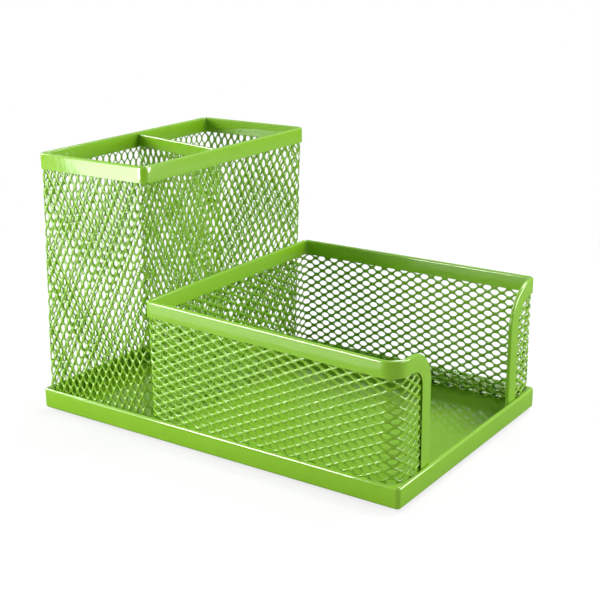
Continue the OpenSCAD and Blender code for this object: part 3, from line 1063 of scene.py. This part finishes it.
def make_floor():
    """A pale floor that keeps the object's shadow and fades to plain white round it."""
    material, tree, shader = new_material("Studio white")
    feed(tree, shader, {"Base Color": grey(FLOOR_SEEN), "Roughness": 0.9})
    glow = output(tree, "ShaderNodeEmission", {"Color": grey(1), "Strength": 1.0})
    place = tree.nodes.new("ShaderNodeTexCoord").outputs["Object"]
    away = put(tree, "ShaderNodeVectorMath", [place], operation="LENGTH").outputs["Value"]
    fade = output(tree, "ShaderNodeMapRange", {
        "Value": away, "From Min": FADE_NEAR, "From Max": FADE_FAR, "To Min": FADE_SHARE,
        "To Max": 1.0}, interpolation_type="SMOOTHSTEP")
    seen = output(tree, "ShaderNodeMixShader", [fade, shader.outputs[0], glow])
    dim = output(tree, "ShaderNodeBsdfDiffuse", {"Color": grey(FLOOR_GLOSS)})
    bounce = output(tree, "ShaderNodeBsdfDiffuse", {"Color": grey(FLOOR_BOUNCE)})
    shown = show_to_rays(tree, seen, dim, bounce)
    tree.links.new(shown, tree.nodes["Material Output"].inputs["Surface"])
    data = bpy.data.meshes.new("studio_floor")
    corners = ((-1, -1), (1, -1), (1, 1), (-1, 1))
    data.from_pydata([(x * FLOOR_REACH, y * FLOOR_REACH, 0) for x, y in corners], [],
                     [(0, 1, 2, 3)])
    data.materials.append(material)
    return link("studio_floor", data)


def make_room(scene):
    """A room that is white to the camera, softer in the gloss and dim as a light."""
    world = bpy.data.worlds.new("Studio")
    scene.world = world
    world.use_nodes = True
    tree = world.node_tree
    room = tree.nodes["Background"]
    feed(tree, room, {"Color": grey(1), "Strength": ROOM_LIGHT})
    white, sheen = (output(tree, "ShaderNodeBackground", {"Color": grey(1), "Strength": strength})
                    for strength in (ROOM_SEEN, ROOM_GLOSS))
    shown = show_to_rays(tree, white, sheen, room.outputs[0])
    tree.links.new(shown, tree.nodes["World Output"].inputs["Surface"])


def softbox(name, power, place, target, width, height):
    """A soft lamp that faces its target and that the camera doesn't see."""
    data = bpy.data.lights.new(name, "AREA")
    data.shape = "RECTANGLE"
    data.size, data.size_y, data.energy = width, height, power
    lamp = link(name, data)
    lamp.location = place
    lamp.visible_camera = False
    lamp.rotation_euler = (Vector(target) - Vector(place)).to_track_quat("-Z", "Y").to_euler()


def make_camera(scene):
    """A camera that looks from its azimuth and its elevation, rolled a little."""
    view = bpy.data.cameras.new("camera")
    view.sensor_width = CAMERA_SENSOR
    view.lens = CAMERA_LENS
    camera = link("camera", view)
    level = math.cos(CAMERA_ELEVATION)
    back = Vector((math.sin(CAMERA_AZIMUTH) * level, -math.cos(CAMERA_AZIMUTH) * level,
                   math.sin(CAMERA_ELEVATION)))
    right = Vector((math.cos(CAMERA_AZIMUTH), math.sin(CAMERA_AZIMUTH), 0))
    turn = Matrix((right, back.cross(right), back)).transposed()
    camera.matrix_world = (Matrix.Translation(CAMERA_PLACE) @ turn.to_4x4()
                           @ Matrix.Rotation(CAMERA_ROLL, 4, "Z"))
    scene.camera = camera
    scene.view_settings.view_transform = "Standard"


class ORGANIZER_OT_stage(bpy.types.Operator):
    """Sets the pale floor, the soft studio light and the camera"""
    bl_idname = "organizer.stage"
    bl_label = "Stage"

    def execute(self, context):
        scene = context.scene
        floor = make_floor()
        make_room(scene)
        for name, setting in SOFTBOXES.items():
            power = getattr(scene.organizer_stage, name + "_power")
            softbox(name + "_softbox", power, *setting)
        make_camera(scene)
        return {"FINISHED"}


# ---------------------------------------------------------------- panel and registration

BUILD_ORDER = ["pan", "pads", "cup_mesh", "cup_rim", "divider", "tray_mesh", "tray_trim", "stage"]
GROUPS = {"organizer_mesh": OrganizerMesh, "organizer_trim": OrganizerTrim,
          "organizer_paint": OrganizerPaint, "organizer_stage": OrganizerStage}


class ORGANIZER_PT_sidebar(bpy.types.Panel):
    """Lists the organizer's pieces and their sizes and colours"""
    bl_idname = "ORGANIZER_PT_sidebar"
    bl_label = "Mesh desk organizer"
    bl_space_type = "VIEW_3D"
    bl_region_type = "UI"
    bl_category = "Organizer"

    def draw(self, context):
        layout = self.layout
        for group in GROUPS:
            values = getattr(context.scene, group)
            column = layout.column(align=True)
            for key in values.bl_rna.properties.keys():
                if key not in ("rna_type", "name"):
                    column.prop(values, key)
        for name in BUILD_ORDER:
            layout.operator("organizer." + name)


CLASSES = [ORGANIZER_OT_pan, ORGANIZER_OT_pads, ORGANIZER_OT_cup_mesh, ORGANIZER_OT_cup_rim,
           ORGANIZER_OT_divider, ORGANIZER_OT_tray_mesh, ORGANIZER_OT_tray_trim,
           ORGANIZER_OT_stage, ORGANIZER_PT_sidebar]


def register():
    for name, group in GROUPS.items():
        bpy.utils.register_class(group)
        setattr(bpy.types.Scene, name, PointerProperty(type=group))
    for made in CLASSES:
        bpy.utils.register_class(made)


def unregister():
    for made in reversed(CLASSES):
        bpy.utils.unregister_class(made)
    for name, group in GROUPS.items():
        delattr(bpy.types.Scene, name)
        bpy.utils.unregister_class(group)


def main():
    register()
    for name in BUILD_ORDER:
        getattr(bpy.ops.organizer, name)()


if __name__ == "__main__":
    main()
